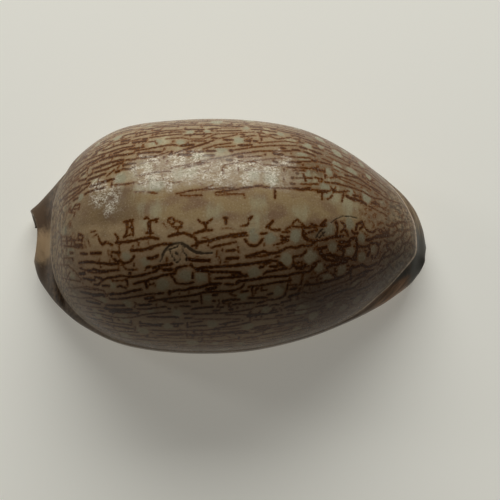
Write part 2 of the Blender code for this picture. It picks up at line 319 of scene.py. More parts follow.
def is_spare(edge):
    """Whether an edge of the grid lies inside one of the cavity's larger cells."""
    (column, row), (end_column, end_row) = sorted(grid_place(vert) for vert in edge.verts)
    last_whole_row = ROW_COUNT - 1 - COARSE_ROWS
    if column < 2 * HALF + NOSE_STEPS or end_column > 4 * HALF - NOSE_STEPS:
        return False
    if row < COARSE_ROWS or end_row > last_whole_row:
        return False
    if row == end_row:
        return row % COARSE_ROWS > 0 and row < last_whole_row
    return (column - 2 * HALF - NOSE_STEPS) % COARSE_COLUMNS > 0 and column < 4 * HALF - NOSE_STEPS


# The mesh: a flat grid, thinned where the cavity is smooth, then rolled into the closed wall.
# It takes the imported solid's exact place and size.
mesh = bmesh.new()
bmesh.ops.create_grid(mesh, x_segments=4 * HALF, y_segments=ROW_COUNT - 1, size=0.5)
spare_edges = [edge for edge in mesh.edges if is_spare(edge)]
bmesh.ops.dissolve_edges(mesh, edges=spare_edges, use_verts=True)
grid_places = [grid_place(vert) for vert in mesh.verts]
for vert, (column, row) in zip(mesh.verts, grid_places):
    vert.co = wall_point(column, row)
low = Vector(min(vert.co[axis] for vert in mesh.verts) for axis in range(3))
high = Vector(max(vert.co[axis] for vert in mesh.verts) for axis in range(3))
stretch = Vector((cad_high[i] - cad_low[i]) / (high[i] - low[i]) for i in range(3))
shift = Vector(cad_low[i] - low[i] * stretch[i] for i in range(3))
bmesh.ops.scale(mesh, verts=mesh.verts, vec=stretch)
bmesh.ops.translate(mesh, verts=mesh.verts, vec=shift)
net = net * numpy.array(stretch) + numpy.array(shift)

# Pigment is laid down as specks: a place on the shell in metres and a radius in mm. Lines
# that follow a rule run over the shell by u, mm along the back from its middle, and w, mm
# round from the back, evened out so that the lines close up towards both ends.
SPECK_APART = 0.1
HAND_CLEAR = 0.55  # mm that the lines by rule keep off the listed ones
LINES_MEET = 0.7  # how much the lines close up at the ends: 0 not at all, 1 into one point
spread = (half_girth.max() / half_girth) ** LINES_MEET
draw = random.Random(11)
ink = []


def on_shell(u, w):
    """The place on the outside at u and w."""
    row = float(numpy.interp(u, u_of_row, numpy.arange(ROW_COUNT)))
    first = min(int(row), ROW_COUNT - 2)
    found = Vector((0, 0, 0))
    for r, share in ((first, first + 1 - row), (first + 1, row - first)):
        column = float(numpy.interp(w / spread[r], girth[r], numpy.arange(2 * HALF + 1)))
        c = min(int(column), 2 * HALF - 1)
        point = net[r, c] * (c + 1 - column) + net[r, c + 1] * (column - c)
        found += share * Vector(point)
    return found


# The marks that stand out on the back are listed as the camera sees them: x and y in
# the 500-pixel frame. Each falls on the shell along the line of sight.
FRAME = 500
ELEVATION = math.radians(80)
DISTANCE = 0.25
LOOK_AT = Vector((3.67, -2.66, 12.0)) * MM
VIEW_ANGLE = math.radians(18.1)
PIXEL = 0.15  # mm of shell that a pixel covers on the back
eye_place = LOOK_AT + DISTANCE * Vector((0, -math.cos(ELEVATION), math.sin(ELEVATION)))
skin_tree = BVHTree.FromBMesh(mesh)


def seen_at(x, y):
    """The place on the shell behind pixel x, y."""
    across = (x - FRAME / 2) / (FRAME / 2) * math.tan(VIEW_ANGLE / 2)
    upward = (FRAME / 2 - y) / (FRAME / 2) * math.tan(VIEW_ANGLE / 2)
    ahead = (LOOK_AT - eye_place).normalized()
    right = Vector((1, 0, 0))
    up = Vector((0, math.sin(ELEVATION), math.cos(ELEVATION)))
    sight = (ahead + across * right + upward * up).normalized()
    return skin_tree.ray_cast(eye_place, sight)[0]


def beaded(place, radius, beads):
    """The radius, swelling and thinning from place to place."""
    return radius * (1 + beads * noise.noise(place / (0.4 * MM)))


def draw_by_hand(strokes, specks, beads=0.35):
    """Lays down strokes, each a width and then its points, in pixels."""
    for width, *points in strokes:
        for (x, y), (next_x, next_y) in zip(points, points[1:]):
            steps = max(1, round(math.hypot(next_x - x, next_y - y) * PIXEL / SPECK_APART))
            for i in range(steps + 1):
                place = seen_at(x + (next_x - x) * i / steps, y + (next_y - y) * i / steps)
                if place:
                    specks.append((place, beaded(place, width / 2 * PIXEL, beads)))


# The row of marks below the mantle band
BAND_MARKS = [
    (3, (124, 222), (129, 221), (133, 220)), (3, (127, 223), (127, 232), (124, 237)),
    (3, (132, 221), (133, 235)), (2.5, (124, 237), (130, 235)), (2, (127, 228), (132, 227)),
    (4, (149, 222), (150, 233)), (2.5, (144, 219), (147, 217), (150, 221), (154, 220), (158, 219)),
    (2.5, (157, 219), (156, 222)), (2.5, (146, 233), (153, 233)),
    (2.5, (171, 224), (168, 221), (169, 218), (173, 218), (175, 221), (172, 226), (176, 228),
     (181, 227)),
    (2.5, (181, 227), (182, 223), (178, 221)), (2, (177, 229), (178, 233)),
    (1.5, (163, 223), (167, 228)), (2.5, (198, 220), (202, 223), (207, 223), (212, 219)),
    (3, (205, 223), (206, 229)), (3, (195, 233), (202, 231), (212, 230)),
    (3.5, (224, 218), (227, 218)), (3, (226, 218), (226, 224)),
    (1.2, (221, 229), (227, 228), (233, 229)), (3.5, (252, 217), (249, 219)),
    (2.5, (249, 219), (248, 225), (241, 226)), (3.5, (273, 221), (270, 224), (267, 227)),
    (2.8, (268, 227), (273, 230), (280, 230)), (2.8, (261, 234), (267, 233)),
    (2.4, (292, 227), (293, 223), (297, 219), (301, 223), (306, 227)),
    (2.4, (286, 229), (292, 226), (299, 227), (305, 228), (313, 227), (317, 229)),
    (2.5, (283, 232), (290, 232)), (3.2, (326, 220), (323, 223), (320, 226)),
    (3.4, (320, 226), (326, 225)), (3, (311, 224), (317, 226)),
    (3.8, (356, 230), (357, 224), (362, 222)), (3, (365, 228), (369, 232), (374, 232), (376, 229)),
    (3, (378, 229), (380, 232)), (3, (384, 228), (386, 231)), (2.6, (61, 236.5), (72, 238)),
    (2.8, (66.5, 238), (66.5, 243.5)), (3, (71, 237), (71.5, 246)),
    (3, (73.5, 239), (75, 245), (82, 245), (83, 248)),
    (3, (78.5, 234), (83, 236), (82, 241), (78, 239), (78.5, 234)),
    (2.6, (63, 246), (73, 246.5), (82, 248)), (3, (72, 258), (73, 260)),
    (1.8, (91, 232), (96, 231)), (1.8, (93, 237), (97, 234), (99, 238)),
    (1.8, (88, 240), (90, 246)), (3, (99, 239), (102, 245), (106, 242), (112, 245)),
]
draw_by_hand(BAND_MARKS, ink)

# The broken lines of the outer lip's side
LIP_SIDE_LINES = [
    (3, (115, 234), (118, 238), (117, 243)), (2, (119, 243), (119, 252)),
    (2, (119, 256), (119, 270)),
    (3.5, (116, 243), (125, 242), (135, 240.5), (143, 238.5), (152, 237.5), (158, 239)),
    (3, (70, 253), (73, 253)), (3.5, (81, 253.5), (87, 254)), (3.5, (91, 253.5), (101, 253)),
    (3, (112, 252), (120, 253)), (3.5, (131, 250.5), (142, 250), (152, 248)),
    (3.2, (148, 248), (156, 245.5), (163, 244), (171, 244)),
    (3.5, (148, 258), (152, 258.5), (158, 255.5)),
    (3.4, (79, 263), (86, 262), (92, 262), (98, 263), (110, 264), (118, 264)),
    (2, (99, 262), (99.5, 259)), (3.5, (114, 259), (118, 262)),
    (3, (120, 260), (123, 263), (127, 263), (131, 261), (134, 256.5)),
    (3, (80, 268), (85, 270), (91, 270.5), (94, 269), (98, 271), (105, 271), (119, 270)),
    (2.2, (88, 272), (98, 273), (108, 272)),
    (2.5, (122, 265), (126, 269), (131, 270), (137, 269.5)), (3, (147, 267.5), (150, 266.5)),
    (3.5, (153, 268), (158, 266), (163, 265), (170, 265), (172, 263.5)),
    (2.8, (94, 284.5), (98, 285), (103, 280), (107, 278), (114, 277.5), (121, 275.5)),
    (3, (95, 277), (102, 278.5)),
    (2.8, (121, 275.5), (128, 277), (136, 276.5), (143, 275), (150, 273), (156, 271), (160, 268)),
    (3, (134, 284), (140, 282), (147, 281), (150, 279), (156, 278), (162, 275.5), (175, 273.5)),
    (3.2, (146, 281), (146, 284), (147, 288)), (2, (154, 283), (155, 286)),
    (2.8, (175, 273.5), (176, 268.5), (180, 267), (187, 265.5)),
    (2.6, (171, 276), (174, 279), (176, 283), (180, 284), (187, 284), (193, 282.5)),
    (2.8, (193, 273), (193, 278)), (3, (191, 265), (194, 268), (200, 268.5)),
    (3.4, (200, 268), (212, 267), (230, 266), (250, 264), (262, 262), (272, 260.5), (277, 261),
     (286, 268.5)),
    (3.2, (196, 270), (205, 271), (215, 272), (228, 272), (240, 272.5)),
    (2.4, (209, 272), (210, 284)),
    (3.4, (174, 291), (179, 290), (185, 290), (192, 288), (200, 287.5), (208, 284.5), (221, 283.5)),
    (3, (215, 278.5), (222, 278), (237, 277), (247, 276)),
    (2.2, (232, 274), (236, 276), (241, 274), (247, 274)),
    (2.8, (149, 301.5), (158, 300), (168, 298.5), (188, 296), (197, 294.5), (204, 292.5),
     (214, 291.5)),
    (2.8, (214, 291.5), (226, 291.5), (234, 290.5), (241, 288), (244, 284.5)),
    (2.4, (233, 291), (230, 294), (236, 296)),
    (2.6, (164, 301), (170, 302.5), (178, 302), (188, 301)),
    (2.6, (110, 299), (118, 299), (127, 298), (136, 296.5), (146, 294.5), (164, 293)),
    (3, (117, 294), (124, 293.5), (130, 291.5), (141, 289.5)),
    (2.5, (117, 287), (121, 286), (126, 288)),
    (2, (84, 288.5), (92, 289.5), (100, 290), (104, 291), (109, 298)),
    (2, (112, 281), (122, 280.5)), (2.5, (137, 309), (147, 309), (157, 307.5), (166, 306.5)),
    (1.8, (134, 302), (136, 303), (134, 308)),
    (2.2, (112, 317), (122, 318), (132, 317.5), (142, 315), (153, 313.5), (170, 312)),
    (2.4, (180, 306), (190, 306.5)),
    (2.6, (193, 314), (203, 314), (214, 313.5), (226, 313), (238, 311.5), (252, 309)),
    (2, (195, 319), (240, 319)), (2.2, (201, 296), (202, 304)),
    (2.5, (219, 300), (220, 303), (217, 307), (223, 307)),
    (4.2, (188, 259), (193, 260), (200, 260.5), (209, 260.5)),
    (3.5, (169, 236.5), (174, 234.5), (179, 233.5), (184, 233), (190, 235), (195, 238), (198, 243)),
    (3, (192, 246), (197, 245), (196, 248)), (2, (203, 238), (207, 237.5), (209, 240)),
    (3.4, (197, 243), (204, 241.5), (210, 241), (217, 238.5), (224, 237), (232, 235), (246, 233)),
    (2.6, (211, 248), (215, 246.5), (222, 245), (236, 242)), (3, (226, 251), (235, 250)),
    (3.5, (227, 258.5), (238, 258)), (2.4, (233, 237.5), (240, 236), (247, 235.5)),
    (3, (245, 239.5), (249, 245), (254, 246), (258, 245), (263, 239)),
    (3.2, (246, 256.5), (252, 255), (257, 253.5), (263, 251.5), (270, 253), (276, 253), (281, 251),
     (286, 248)),
    (3, (286, 248), (291, 247), (296, 248), (302, 245.5), (309, 246), (313, 244), (316, 240.5),
     (324, 240)),
    (3.4, (324, 240), (331, 237.5), (344, 236)), (2.2, (247, 258), (255, 257), (270, 255)),
    (3, (281, 236), (284, 238), (289, 236.5)), (3, (281, 240), (288, 240.5)),
    (2.4, (274, 245), (282, 243), (288, 241)), (3, (304, 229), (303, 235), (308, 239), (313, 241)),
    (3, (305, 234), (311, 232), (317, 230)), (3.3, (366, 240), (372, 239), (376, 236), (389, 234)),
    (3.9, (339, 242), (349, 242), (352, 238), (356, 238), (357, 245)),
    (3.9, (357, 246), (364, 247), (369, 246)), (3.9, (357, 247), (356, 257)),
    (3.3, (369, 247), (370, 250), (367, 256)),
    (3.3, (371, 243), (377, 243), (379, 247), (378, 253), (375, 258)),
    (3.9, (337, 256), (330, 254), (324, 256), (320, 253)),
    (3.8, (320, 250), (322, 255), (325, 259), (332, 261), (340, 260), (348, 258), (356, 260)),
    (3.8, (318, 249), (327, 247)), (3, (293, 256.5), (300, 256), (304, 254), (306, 251)),
    (2.2, (293, 258), (294, 264), (290, 269)), (3, (302, 262), (303, 267), (298, 267), (294, 266)),
    (3, (264, 274), (267, 271.5), (275, 270.5), (287, 268)),
    (2.6, (262, 262), (267, 264.5), (270, 262)),
    (3.4, (237, 284), (238, 281), (247, 280.5), (257, 279), (267, 277), (276, 276.5), (287, 276),
     (294, 273.5)),
    (3.2, (294, 273.5), (301, 272.5), (310, 271.5), (314, 267), (316, 265)),
    (2.4, (290, 278), (290, 285), (301, 285), (303, 273.5)),
    (2.4, (310, 278), (316, 277), (318, 284), (312, 285), (306, 281)),
    (2.6, (318, 276), (322, 273), (328, 271.5)),
    (4.4, (327, 268), (330, 265.5), (337, 264.5), (347, 261)),
    (3.2, (333, 274), (337, 278), (343, 276.5), (348, 273), (352, 269)),
    (3.9, (352, 268), (357, 266.5), (362, 265), (367, 267)),
    (2.4, (303, 292), (309, 293.5), (318, 291), (327, 288), (338, 284), (347, 281), (354, 276),
     (369, 272)),
    (3, (248, 287), (256, 286), (264, 285), (273, 283), (291, 280.5)),
    (2.4, (252, 288), (253, 296)), (2.4, (261, 287), (261, 291), (267, 290)),
    (3, (249, 298), (267, 297.5)),
    (2.8, (267, 300), (274, 299.5), (281, 298), (285, 295), (287, 289), (288, 284)),
    (2.8, (233, 304.5), (254, 302.5)), (2.4, (270, 306), (275, 304.5), (279, 305)),
    (2, (280, 308), (282, 311)), (2.2, (226, 315), (240, 314.5)),
    (2, (302, 297), (310, 299), (320, 296), (331, 291.5), (342, 286)),
    (2, (299, 304), (306, 301.5), (316, 299)),
    (2, (287, 310), (297, 310.5), (307, 309), (318, 306.5), (325, 303)),
    (2.2, (254, 320), (278, 318), (302, 314.5)), (1.8, (330, 300), (337, 296), (344, 291)),
    (3.2, (350, 284), (358, 278), (366, 275)),
]
draw_by_hand(LIP_SIDE_LINES, ink)

# The lines beyond the mantle band, which close up towards the hind end
FAR_SIDE_LINES = [
    (2.6, (150, 137.5), (166, 135.5), (182, 134)),
    (3, (134, 137), (147, 134), (166, 130.5), (182, 130)),
    (2.2, (166, 139), (182, 137.5), (189, 139), (204, 139), (216, 134), (235, 133), (254, 132)),
    (2.6, (131, 141), (140, 139)), (2.4, (149, 142), (155, 141), (157, 144)),
    (3, (85, 161), (97, 156), (110, 152), (122, 148), (134, 146)),
    (2.8, (135, 151), (147, 149), (160, 146.5), (172, 144.5), (177, 145.5)),
    (3, (175, 153), (185, 149.5), (197, 146), (207, 143), (214, 140)),
    (2.6, (192, 141), (206, 141)), (2.4, (204, 149), (216, 145), (231, 143)),
    (2, (215, 147.5), (235, 146)), (3, (217, 131), (241, 130.5)), (2, (222, 128), (239, 128)),
    (2.6, (241, 137), (255, 135.5)), (2.2, (222, 138), (237, 134.5)),
    (2.4, (235, 150), (254, 147), (272, 145.5), (297, 145.5)),
    (2.6, (210, 159), (222, 158), (237, 154), (260, 151), (291, 151)),
    (2.4, (259, 143), (285, 141), (297, 143)), (2.4, (267, 135), (277, 139), (291, 137.5)),
    (2.6, (87, 171), (89, 166), (97, 162.5)), (3, (95, 172.5), (107, 169), (115, 165), (122, 163)),
    (2.4, (107, 176), (114, 170)), (2.6, (70, 177.5), (79, 170), (86, 164)),
    (2.4, (61, 191), (67, 183), (73, 177)), (2.4, (72, 182), (79, 176)),
    (2.8, (63, 206), (71, 199), (79, 193), (88, 186)),
    (2.6, (69, 209), (72, 211), (75, 205), (80, 204), (79, 209), (74, 209)),
    (2.4, (68, 212), (75, 213), (74, 216)), (3, (79, 181), (86, 179)),
    (3.2, (79, 190), (82, 185), (90, 183)), (2.8, (64, 200), (72, 195), (79, 190)),
    (3, (122, 169), (130, 169), (135, 167)), (3, (126, 160), (134, 159.5), (138, 158)),
    (2.4, (115, 185), (126, 184), (135, 182.5)),
    (2.2, (176, 194), (191, 190.5), (210, 189), (235, 187.5)),
    (1.8, (180, 195), (189, 196), (202, 195)),
    (2.6, (215, 192.5), (229, 190.5), (247, 187.5), (262, 185.5)),
    (1.8, (216, 195), (235, 194), (244, 194), (245, 197.5)),
    (2, (135, 176), (157, 172.5), (169, 170.5)), (2.2, (185, 167.5), (197, 165), (206, 161)),
    (2, (105, 147.5), (114, 142)),
    (1.8, (97, 142), (116, 135), (135, 130), (154, 125.5), (172, 122.5)),
    (3, (287, 162), (300, 162.5)), (2.4, (271, 165.5), (287, 165)),
    (2.2, (90, 152), (103, 146), (121, 140), (131, 137)), (2.4, (68, 188), (75, 181), (80, 178)),
    (2.2, (263, 187), (300, 189), (330, 191)), (2.8, (275, 190), (275, 198)),
    (2.6, (317, 192), (327, 192)), (3, (322, 191), (322, 199)), (2.5, (338, 192), (349, 191)),
    (2.6, (344, 192), (342, 201)), (2.2, (246, 157), (262, 156)),
    (1.6, (137, 185), (151, 180.5), (168.5, 179)),
    (1.8, (148.5, 173.5), (160, 170.5), (171.5, 172)),
    (2.2, (171.5, 168), (183, 165.5), (194.5, 163.5), (205.5, 160), (217, 158), (234, 155)),
    (1.6, (198.5, 165), (208.5, 162), (223, 160)),
    (2, (235.5, 160.5), (251.5, 162), (265.5, 165), (283, 165.5)),
    (2.2, (244.5, 170), (258.5, 170.5), (270, 173.5)),
    (1.4, (194.5, 170.5), (204.5, 172), (208.5, 169.5)), (1.4, (165.5, 183.5), (180, 182)),
    (1.4, (200, 183.5), (205.5, 188), (213, 185)),
    (2.2, (134.5, 192), (145.5, 191.5), (157, 193.5)), (2.6, (287, 162), (310, 161.5)),
    (2.6, (287, 167), (310, 168.5)), (2.4, (285.5, 156.5), (310, 158)),
    (3, (303, 173.5), (305.5, 180.5)), (3.5, (291.5, 188), (303, 189.5), (310, 188)),
    (2.2, (140, 164), (150, 161), (160, 160)), (2, (160, 155), (168, 152)),
    (2.4, (292, 170), (306, 171)), (2, (225, 165), (240, 162)),
    (2.2, (250, 161), (270, 159), (283, 158)), (2.4, (296, 178), (312, 178)),
    (2, (300, 184), (318, 184)),
]
draw_by_hand(FAR_SIDE_LINES, ink)

# The crooked net at both ends
END_NET = [
    (2.6, (333.5, 165), (350.5, 173.5), (360.5, 179), (375, 190.5), (388, 199.5), (399.5, 203.5)),
    (2.6, (325, 182), (336.5, 183.5), (350.5, 187), (363.5, 192), (373.5, 198), (382, 199.5)),
    (3.2, (345, 175), (358, 178), (368, 185), (380.5, 192)),
    (2.6, (353.5, 165), (368, 170.5), (379.5, 180.5)),
    (2.6, (360.5, 168), (373.5, 178), (386.5, 188), (396.5, 195.5)),
    (3.7, (336, 222), (337.5, 227), (337, 233), (334, 237)),
    (3.3, (341, 222), (344, 224), (345, 226)),
    (3.4, (341, 232), (344, 229), (347, 232), (348, 236)),
    (3.7, (338, 246), (344, 247), (350, 245)),
    (3.7, (340, 249), (344, 251), (343, 256), (337, 258), (330, 255)),
    (3.4, (352, 231), (354, 234), (358, 233)), (3.7, (357, 247), (356, 252), (353, 258)),
    (3.1, (370, 252), (368, 257)), (2.9, (381, 241), (379, 246)),
    (3.4, (352, 266), (357, 267), (362, 264), (366, 268), (371, 266), (377, 263)),
    (3.6, (358, 275), (366, 271), (373, 270)), (3.7, (350.5, 268), (351, 279)),
    (3, (311, 270), (313, 264), (320, 261)), (3.5, (303, 231), (303, 236), (308, 241)),
    (2.9, (390, 226), (392, 223), (396, 226), (398, 230), (394, 233)),
    (3.2, (361, 222), (364, 225), (360, 229)), (2.9, (390, 249), (394, 254), (398, 252)),
    (2.9, (384, 240), (388, 243), (388, 250)),
    (4.4, (293, 265), (297, 268), (303, 268), (305, 265)),
    (3.6, (320, 283), (330, 281), (340, 278)), (3.4, (305, 285), (318, 284)),
    (3.6, (325, 297), (335, 293), (347, 289)),
    (3.3, (368, 240.5), (373.5, 238), (385, 236.5), (393.5, 235)),
    (3.3, (382, 256.5), (388, 250.5), (386.5, 245), (392, 242)),
    (3.3, (378, 265), (382, 258), (392, 255), (393.5, 250.5)),
    (3.3, (392, 262), (399.5, 256.5), (405, 250.5)),
    (3.3, (393.5, 245), (396.5, 239.5), (402, 236.5), (405, 230.5), (410.5, 229.5)),
    (3.3, (399.5, 250.5), (402, 245), (408, 242), (410.5, 236.5)),
    (3.2, (379.5, 273.5), (386.5, 268), (389.5, 262)),
    (3.2, (368, 279.5), (375, 275), (382, 269.5)), (3.2, (358, 290.5), (368, 286.5), (373.5, 282)),
    (3.2, (333.5, 293.5), (345, 290.5), (353.5, 288), (360.5, 282)),
    (2, (328, 302), (339.5, 298), (350.5, 296.5)),
    (3.3, (386.5, 225), (392, 226.5), (399.5, 222), (405, 222)),
    (3.3, (381, 229), (383, 233), (389, 231.5), (389, 229)), (3.9, (61, 236.5), (61.5, 246.5)),
    (3, (66.5, 236.5), (67.5, 246.5)), (2.6, (61, 241.5), (76.5, 240)),
    (2.1, (56.5, 265), (68, 265), (75, 271.5), (81.5, 280)),
    (2.2, (63.5, 265), (64, 258), (73, 258)), (2.3, (61, 278), (71.5, 280), (80, 281.5)),
    (1.8, (63.5, 288), (75, 288), (86.5, 286.5), (98.5, 289)),
    (2.1, (68, 295), (80, 298), (91.5, 298), (103, 303)),
    (1.8, (75, 303), (88.5, 306.5), (101.5, 308)), (2.3, (83, 311.5), (96.5, 313), (111.5, 316.5)),
    (2.2, (55, 228), (61.5, 235), (58, 243)), (2.6, (58, 198), (65, 191.5), (66.5, 181.5)),
    (1.8, (56.5, 208), (63.5, 203), (68, 198)), (1.6, (58, 221.5), (65, 218)),
    (2.2, (55.5, 215), (56, 225), (55.5, 235)), (2.2, (58, 245), (56, 255), (58, 265), (61, 275)),
    (1.8, (61, 275), (65, 285), (70, 296.5)), (1.6, (59, 250), (62, 258), (60, 266)),
    (2.2, (70, 272), (66, 280), (72, 290)),
]
draw_by_hand(END_NET, ink)

# A healed wound: arched wrinkles over a small eye, drawn dark.
SCAR_WRINKLES = [
    (2.2, (162, 256), (165, 250), (169, 246), (175, 243.5), (182, 243), (188, 246)),
    (3.2, (182, 244), (187, 246), (190, 249), (196, 252.5), (203, 253.5)),
    (2, (203, 253.5), (212, 253)), (1.8, (166, 250), (171, 249), (178, 246.5)),
    (1.8, (170, 251), (172, 256), (175, 260)), (2.8, (176, 253), (177, 254)),
    (1.6, (179, 256), (180, 260), (177, 263), (174, 261)),
    (1.2, (160, 262), (163, 257), (165, 252)),
    (1.8, (183, 245), (183, 252), (187, 256), (186, 261)),
    (1.8, (316, 238), (319, 232), (323, 229)), (1.4, (319, 238), (325, 232)),
    (1.4, (321, 231), (324, 236)),
    (1.4, (331, 223), (336, 219), (342, 216.5), (350, 216.5), (357, 218)),
]
scar_ink = []
draw_by_hand(SCAR_WRINKLES, scar_ink, 0.15)

# Pale round gaps (lacunae): listed one by one on the back, x, y and radius in pixels
HAND_GAPS = [
    (253, 231, 3.5), (254, 238, 5), (270, 238, 6), (296, 236, 6.5), (329, 229, 7), (350, 224, 6),
    (333, 247, 6), (310, 257, 7.5), (286, 259, 7), (350, 251, 5.5), (361, 238, 5.5), (373, 250, 5),
    (362, 257, 5.5), (319, 267, 6), (342, 269, 6), (385, 251, 4), (327, 278, 5.5), (278, 291, 5.5),
    (254, 272, 6), (186, 276, 6.5), (201, 277, 5.5), (163, 285, 7), (127, 303, 4.5),
    (103, 300, 4.5), (113, 285, 4), (127, 257, 4.5), (145, 262, 5), (356, 284, 5.5),
    (330, 305, 4.5), (243, 296, 4.5), (208, 298, 5), (157, 142, 5), (121, 178, 6.5), (157, 186, 6),
    (190, 132, 4.5), (207, 131, 4), (221, 150, 5), (239, 140, 5.5), (197, 156, 5), (252, 172, 6),
    (272, 178, 6.5), (280, 134, 4.5), (81, 197, 4.5), (181, 142, 4.5), (247, 128, 4),
]
GAP_REACH = 2.2  # mm about a line in which a gap may cut it
gaps = []
for x, y, radius in HAND_GAPS:
    place = seen_at(x, y)
    if place:
        gaps.append((place, radius * PIXEL))


def drawn_by_hand(u, w):
    """Whether this place is where the gaps are listed one by one, or plain."""
    if w < 4.2:
        return w > -16 and -27 < u < 27
    return w < 15 and u < 11


def in_plain_band(u, w):
    """Whether this is the mantle band, the row of marks below it or the worn patch above it."""
    worn_and_sheen = 4 < w < 8.4 and -16 < u < 10
    return worn_and_sheen or -5.2 < w < 4.6 and -27 < u < 25


# The others are strewn, closer together at the front
GAP_TRIES = 4000
for _ in range(GAP_TRIES):
    u, w = draw.uniform(-36, 35), draw.uniform(-30, 30)
    place = on_shell(u, w)
    apart = (2.4 if u > 12 else 3.2) + draw.uniform(0, 1.8)
    if drawn_by_hand(u, w) or abs(w) > 20 and draw.random() < 0.8:
        continue
    if all((place - other).length > apart * MM for other, _ in gaps):
        gaps.append((place, draw.uniform(0.6, 1.15)))
gap_tree = kdtree.KDTree(len(gaps))
for i, (place, _) in enumerate(gaps):
    gap_tree.insert(place, i)
gap_tree.balance()


def tree_of(specks):
    """A tree of the specks' places, with their radii."""
    tree = kdtree.KDTree(len(specks))
    for i, (place, _) in enumerate(specks):
        tree.insert(place, i)
    tree.balance()
    return tree, [radius for _, radius in specks]


hand_tree = tree_of(ink + scar_ink)[0]


def stroke(path, radius, beads=0.35):
    """A line of pigment along a path of (u, w), left out at a gap and near a listed mark."""
    for (u, w), (next_u, next_w) in zip(path, path[1:]):
        steps = max(1, round(math.hypot(next_u - u, next_w - w) / SPECK_APART))
        for i in range(steps + 1):
            place = on_shell(u + (next_u - u) * i / steps, w + (next_w - w) * i / steps)
            near = gap_tree.find_range(place, GAP_REACH * MM)
            blocked = any(apart / MM < gaps[k][1] + 0.6 * radius for _, k, apart in near)
            if not blocked and hand_tree.find(place)[2] > HAND_CLEAR * MM:
                ink.append((place, beaded(place, radius, beads)))


def waver(u, seed):
    """How far a line strays to the side, in mm."""
    slow = noise.noise(Vector((u / 9, seed * 1.7, 0.5)))
    quick = noise.noise(Vector((u / 1.8, seed * 3.1, 7.5)))
    return 0.7 * slow + 0.28 * quick


def long_line(start_w, slant, from_u, to_u, radius, dash, rest):
    """A broken line along the shell, with ticks at some of the dashes' ends."""
    u = from_u + draw.uniform(0, 2)
    while u < to_u:
        length = draw.uniform(*dash)
        path = []
        for i in range(int(length / 0.35) + 1):
            at_u = min(u + i * 0.35, to_u)
            at_w = start_w + slant * at_u + waver(at_u, start_w)
            if not in_plain_band(at_u, at_w):
                path.append((at_u, at_w))
        u += length + draw.uniform(*rest)
        if len(path) < 2 or path[-1][0] - path[0][0] > length + 1:
            continue
        narrower = 1 - 0.35 * smooth((path[0][0] - 9) / 8)
        stroke(path, radius * draw.uniform(0.8, 1.25) * narrower)
        if draw.random() < 0.4:
            end_u, end_w = draw.choice((path[0], path[-1]))
            tick = draw.uniform(0.4, 0.9) * draw.choice((-1, 1))
            stroke([(end_u, end_w), (end_u + draw.uniform(-0.2, 0.2), end_w + tick)], radius * 0.8)


# Lines by rule: down the outer lip's side, where they slant and get finer, and beyond the band
w = -8.0
while w > -31:
    deep = smooth((-w - 13) / 9)
    long_line(w, 0.09, -27.0, 28.0, 0.25 - 0.09 * deep, (3, 12), (0.5, 1.6))
    w -= draw.uniform(0.85, 1.25) - 0.25 * deep
w = 4.8
while w < 31:
    deep = smooth((w - 14) / 10)
    long_line(w, 0.0, -33.0, 29.0, 0.27 - 0.08 * deep, (3, 14), (0.4, 1.6))
    w += draw.uniform(0.95, 1.35) - 0.25 * deep

# Bars that join neighbouring lines
BAR_COUNT = 420
for _ in range(BAR_COUNT):
    u, w = draw.uniform(-26, 29), draw.uniform(5, 25) * draw.choice((-1, 1))
    path = [(u, w), (u + draw.uniform(-0.3, 0.3), w + draw.uniform(0.6, 1.4))]
    stroke(path, draw.uniform(0.13, 0.2))

# Broken walls round the gaps at the front, which make a net there
NET_FROM_X = 0.014
WALL_PIECES, WALL_SPECKS = 5, 14
for place, radius in gaps:
    if place.x < NET_FROM_X:
        continue
    outward = skin_tree.find_nearest(place)[1]
    side_on = outward.cross(Vector((0, 1, 0))).normalized()
    other_on = outward.cross(side_on)
    for piece in range(WALL_PIECES):
        if draw.random() < 0.35:
            continue
        start = 2 * math.pi * (piece + draw.uniform(0, 0.4)) / WALL_PIECES
        width = draw.uniform(0.09, 0.19)
        for i in range(WALL_SPECKS):
            angle = start + 0.085 * i
            east, north = math.cos(angle), math.sin(angle)
            dent = noise.noise(place / MM + Vector((east, north, 0)))
            point = place + (radius + 0.3 + 0.25 * dent) * MM * (east * side_on + north * other_on)
            if hand_tree.find(point)[2] > HAND_CLEAR * MM:
                ink.append((point, beaded(point, width, 0.35)))

# Fine crooked flecks over both ends, where the lines give out
FLECK_COUNT = 1100
for _ in range(FLECK_COUNT):
    front = draw.random() < 0.6
    u = draw.uniform(23, 40) if front else draw.uniform(-41, -26)
    w = draw.uniform(-24, 22)
    bend = draw.uniform(-0.7, 0.7)
    middle = (u + draw.uniform(-0.2, 0.5), w + bend)
    end = (u + draw.uniform(-0.2, 0.8), w + 2.2 * bend)
    stroke([(u, w), middle, end], draw.uniform(0.06, 0.13))
